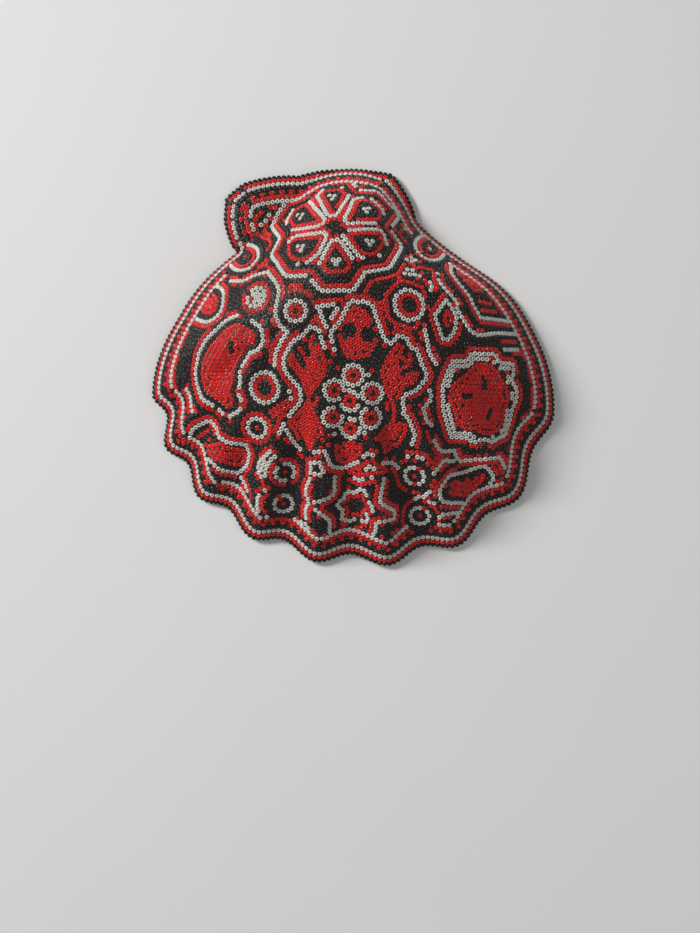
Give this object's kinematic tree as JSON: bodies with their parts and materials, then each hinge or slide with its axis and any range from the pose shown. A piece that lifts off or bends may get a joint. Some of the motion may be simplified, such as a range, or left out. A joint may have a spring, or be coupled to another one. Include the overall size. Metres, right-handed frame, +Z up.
{
  "type": "beaded scallop shell",
  "caption": "Ribbed scallop valve lying hollow side down, its outside coated in wax and covered with glass seed beads in a red, white and black turtle and flower pattern.",
  "frame": {"origin": "centre of the bounding box at the plane that the shell's rim rests on", "axes": "+Z up through the dome, +Y from the ventral margin towards the umbo and the ears, +X towards the smaller ear's side"},
  "size_m": [0.1594, 0.1574, 0.042],
  "materials": {
    "shell": "satin",
    "wax": "matte",
    "black_glass": "gloss",
    "red_glass": "gloss",
    "white_glass": "gloss",
    "border_beads": "gloss",
    "umbo_border_beads": "gloss",
    "left_ear_beads": "gloss",
    "right_ear_beads": "gloss",
    "flower_beads": "gloss",
    "left_rosette_beads": "gloss",
    "right_rosette_beads": "gloss",
    "left_figure_beads": "gloss",
    "right_figure_beads": "gloss",
    "comb_figure_beads": "gloss",
    "turtle_head_beads": "gloss",
    "turtle_shell_beads": "gloss",
    "turtle_left_side_beads": "gloss",
    "turtle_right_side_beads": "gloss",
    "lower_left_figure_beads": "gloss",
    "lower_rosette_beads": "gloss",
    "star_beads": "gloss",
    "lower_ring_beads": "gloss",
    "lower_right_figure_beads": "gloss"
  },
  "bodies": {
    "root": {"shell_valve": "shell", "wax_coat": "wax", "edge_black_beads": "black_glass", "edge_red_beads": "red_glass", "edge_white_beads": "white_glass", "border_beads": "border_beads", "umbo_border_beads": "umbo_border_beads", "left_ear_beads": "left_ear_beads", "right_ear_beads": "right_ear_beads", "flower_beads": "flower_beads", "left_rosette_beads": "left_rosette_beads", "right_rosette_beads": "right_rosette_beads", "left_figure_beads": "left_figure_beads", "right_figure_beads": "right_figure_beads", "comb_figure_beads": "comb_figure_beads", "turtle_head_beads": "turtle_head_beads", "turtle_shell_beads": "turtle_shell_beads", "turtle_left_side_beads": "turtle_left_side_beads", "turtle_right_side_beads": "turtle_right_side_beads", "lower_left_figure_beads": "lower_left_figure_beads", "lower_rosette_beads": "lower_rosette_beads", "star_beads": "star_beads", "lower_ring_beads": "lower_ring_beads", "lower_right_figure_beads": "lower_right_figure_beads"}
  },
  "joints": []
}
